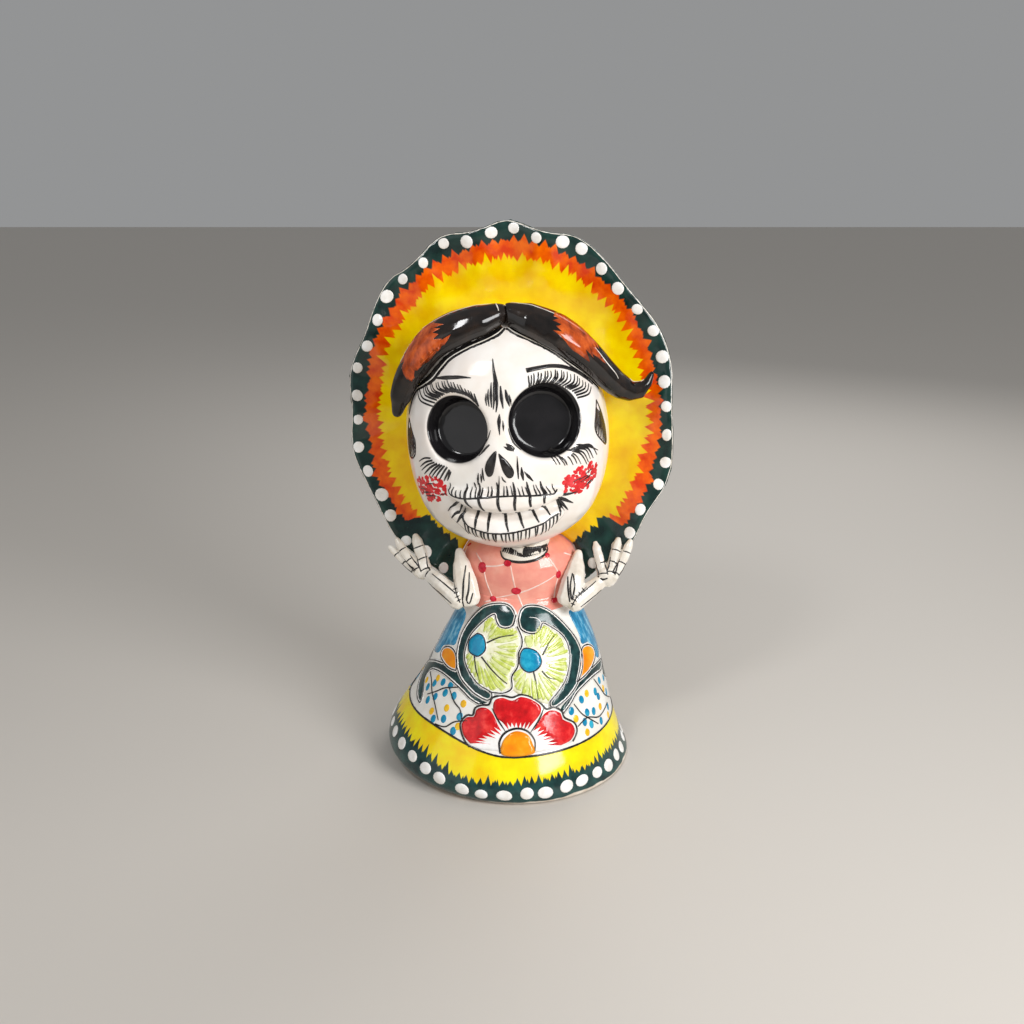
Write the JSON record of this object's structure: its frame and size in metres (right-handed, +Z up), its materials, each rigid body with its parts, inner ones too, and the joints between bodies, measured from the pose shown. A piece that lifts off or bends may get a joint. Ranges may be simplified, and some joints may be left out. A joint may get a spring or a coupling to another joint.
{
  "type": "catrina figure",
  "caption": "Glazed clay catrina: a skeleton lady in a bell skirt who holds the brim of her wide hat.",
  "frame": {"origin": "On the table, under the middle of the bounding box of the whole figure.", "axes": "+Z is up, and is the figure's longest extent. She faces -Y, so her left hand is at +X."},
  "size_m": [0.1748, 0.1338, 0.2938],
  "materials": {
    "skirt_glaze": "glossy, painted with flowers",
    "pink_glaze": "glossy, with red dots",
    "bone_glaze": "glossy, with black linework",
    "black_glaze": "glossy, with rust-red patches",
    "yellow_glaze": "glossy, with flames and white dots"
  },
  "bodies": {
    "root": {"skirt": "skirt_glaze", "bodice": "pink_glaze", "neck": "bone_glaze", "skull": "bone_glaze", "upper_teeth": "bone_glaze", "lower_teeth": "bone_glaze", "right_hair_lock": "black_glaze", "left_hair_lock": "black_glaze", "hat_brim": "yellow_glaze", "hat_crown": "yellow_glaze", "right_upper_arm": "bone_glaze", "right_forearm": "bone_glaze", "right_palm": "bone_glaze", "right_inner_finger": "bone_glaze", "right_middle_finger": "bone_glaze", "right_outer_finger": "bone_glaze", "left_upper_arm": "bone_glaze", "left_forearm": "bone_glaze", "left_palm": "bone_glaze", "left_inner_finger": "bone_glaze", "left_middle_finger": "bone_glaze", "left_outer_finger": "bone_glaze"}
  },
  "joints": []
}
